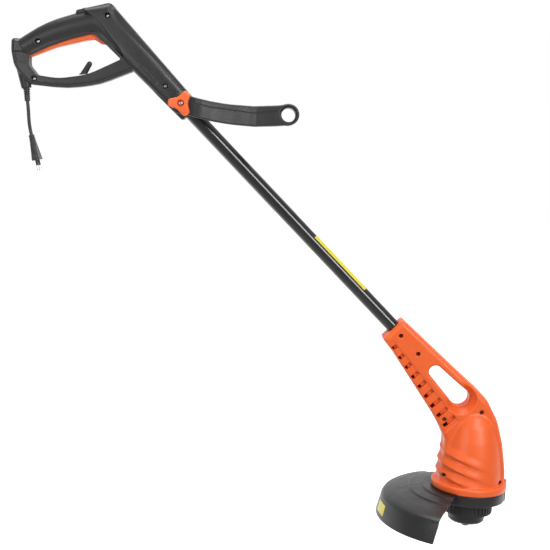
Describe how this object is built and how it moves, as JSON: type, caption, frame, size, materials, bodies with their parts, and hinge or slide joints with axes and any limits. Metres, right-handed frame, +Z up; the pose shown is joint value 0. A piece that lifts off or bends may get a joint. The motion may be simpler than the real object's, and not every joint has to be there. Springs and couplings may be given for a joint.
{
  "type": "string trimmer",
  "caption": "Corded string trimmer with a D-shaped rear handle, folding front handle, straight shaft, orange motor head, half-round guard and bump-feed spool.",
  "frame": {"origin": "middle of the rear grip, where the rear hand holds the trimmer", "axes": "+X forward from the operator to the head, +Y to the operator's left, +Z up, with the cutting plane level; Y = 0 divides the casings"},
  "size_m": [0.9265, 0.2932, 0.901],
  "materials": {
    "black_casing": "satin moulded black plastic with a fine grain",
    "orange_plastic": "semi-gloss orange moulded plastic",
    "guard_plastic": "satin black plastic, lightly scuffed at the rim",
    "black_parts": "plain black moulded plastic",
    "shaft_paint": "gloss black powder coat",
    "yellow_label": "plain yellow printed film, left blank",
    "cord_rubber": "black flexible cord sheath",
    "screw_steel": "zinc-plated steel",
    "dark_screw": "blackened steel",
    "plated_pin": "nickel-plated contact with an insulated root",
    "cast_metal": "pressed metal",
    "lamination": "stacked steel laminations",
    "copper": "enamelled copper",
    "carbon": "pressed carbon",
    "line_nylon": "clear-grey nylon line"
  },
  "bodies": {
    "casing": {"rear_handle_right": "black_casing", "rear_handle_left": "black_casing", "handle_screws": "screw_steel", "trigger_pin": "screw_steel", "trigger_spring": "screw_steel", "switch_body": "black_parts", "cord_clamp": "black_parts", "cord_hook": "black_casing", "cord_boot": "cord_rubber", "power_cord": "cord_rubber", "cord_plug": "cord_rubber", "plug_pins": "plated_pin", "shaft_tube": "shaft_paint", "shaft_label": "yellow_label", "supply_lead": "cord_rubber", "motor_lead": "cord_rubber", "head_housing_right": "orange_plastic", "head_housing_left": "orange_plastic", "head_screws": "dark_screw", "motor_bracket": "cast_metal", "bearing_bridge": "black_parts", "upper_bearing": "screw_steel", "lower_bearing": "screw_steel", "stator_core": "lamination", "field_coils": "copper", "brush_holders": "copper", "carbon_brushes": "carbon", "guard": "guard_plastic", "guard_screws": "dark_screw", "guard_label": "yellow_label", "line_cutter": "screw_steel", "cutter_screws": "dark_screw"},
    "trigger": {"trigger": "orange_plastic"},
    "plunger": {"switch_plunger": "black_parts"},
    "front_handle": {"front_handle": "black_casing", "clamp_nut": "screw_steel"},
    "knob": {"clamp_knob": "orange_plastic", "clamp_bolt": "screw_steel"},
    "rotor": {"armature_shaft": "screw_steel", "armature_core": "lamination", "armature_windings": "copper", "commutator": "copper", "cooling_fan": "black_parts", "spool_cup": "black_parts", "spool_cap": "black_parts", "line_eyelets": "screw_steel", "spool_spring": "screw_steel"},
    "spool": {"spool": "black_parts", "line_winding": "line_nylon", "bump_button": "black_parts"}
  },
  "joints": [
    {"name": "trigger_pull", "type": "hinge", "parent": "casing", "child": "trigger", "pos_m": [-0.056, 0, -0.0335], "axis": [0, -1, 0], "range_deg": [0, 2.6], "stiffness_Nm_per_rad": 1.5, "springref_deg": -28.65, "deforming": ["trigger_spring"]},
    {"name": "switch_press", "type": "slide", "parent": "casing", "child": "plunger", "axis": [0, 0, 1], "range_m": [0, 0.0035]},
    {"name": "front_handle_tilt", "type": "hinge", "parent": "casing", "child": "front_handle", "pos_m": [0.212, 0, -0.104], "axis": [0, 1, 0], "range_deg": [-80, 24]},
    {"name": "knob_turn", "type": "hinge", "parent": "front_handle", "child": "knob", "pos_m": [0.212, 0, -0.104], "axis": [0, -1, 0], "range_deg": [0, 720]},
    {"name": "rotor_spin", "type": "hinge", "parent": "casing", "child": "rotor", "pos_m": [0.768, 0, -0.79], "axis": [0, 0, 1], "continuous": true},
    {"name": "bump_feed", "type": "slide", "parent": "rotor", "child": "spool", "axis": [0, 0, 1], "range_m": [0, 0.004], "stiffness_N_per_m": 800, "springref_m": -0.004, "deforming": ["spool_spring"]}
  ],
  "couplings": [
    {"joint": "switch_press", "follows": "trigger_pull", "m_per_rad": 0.077129}
  ]
}
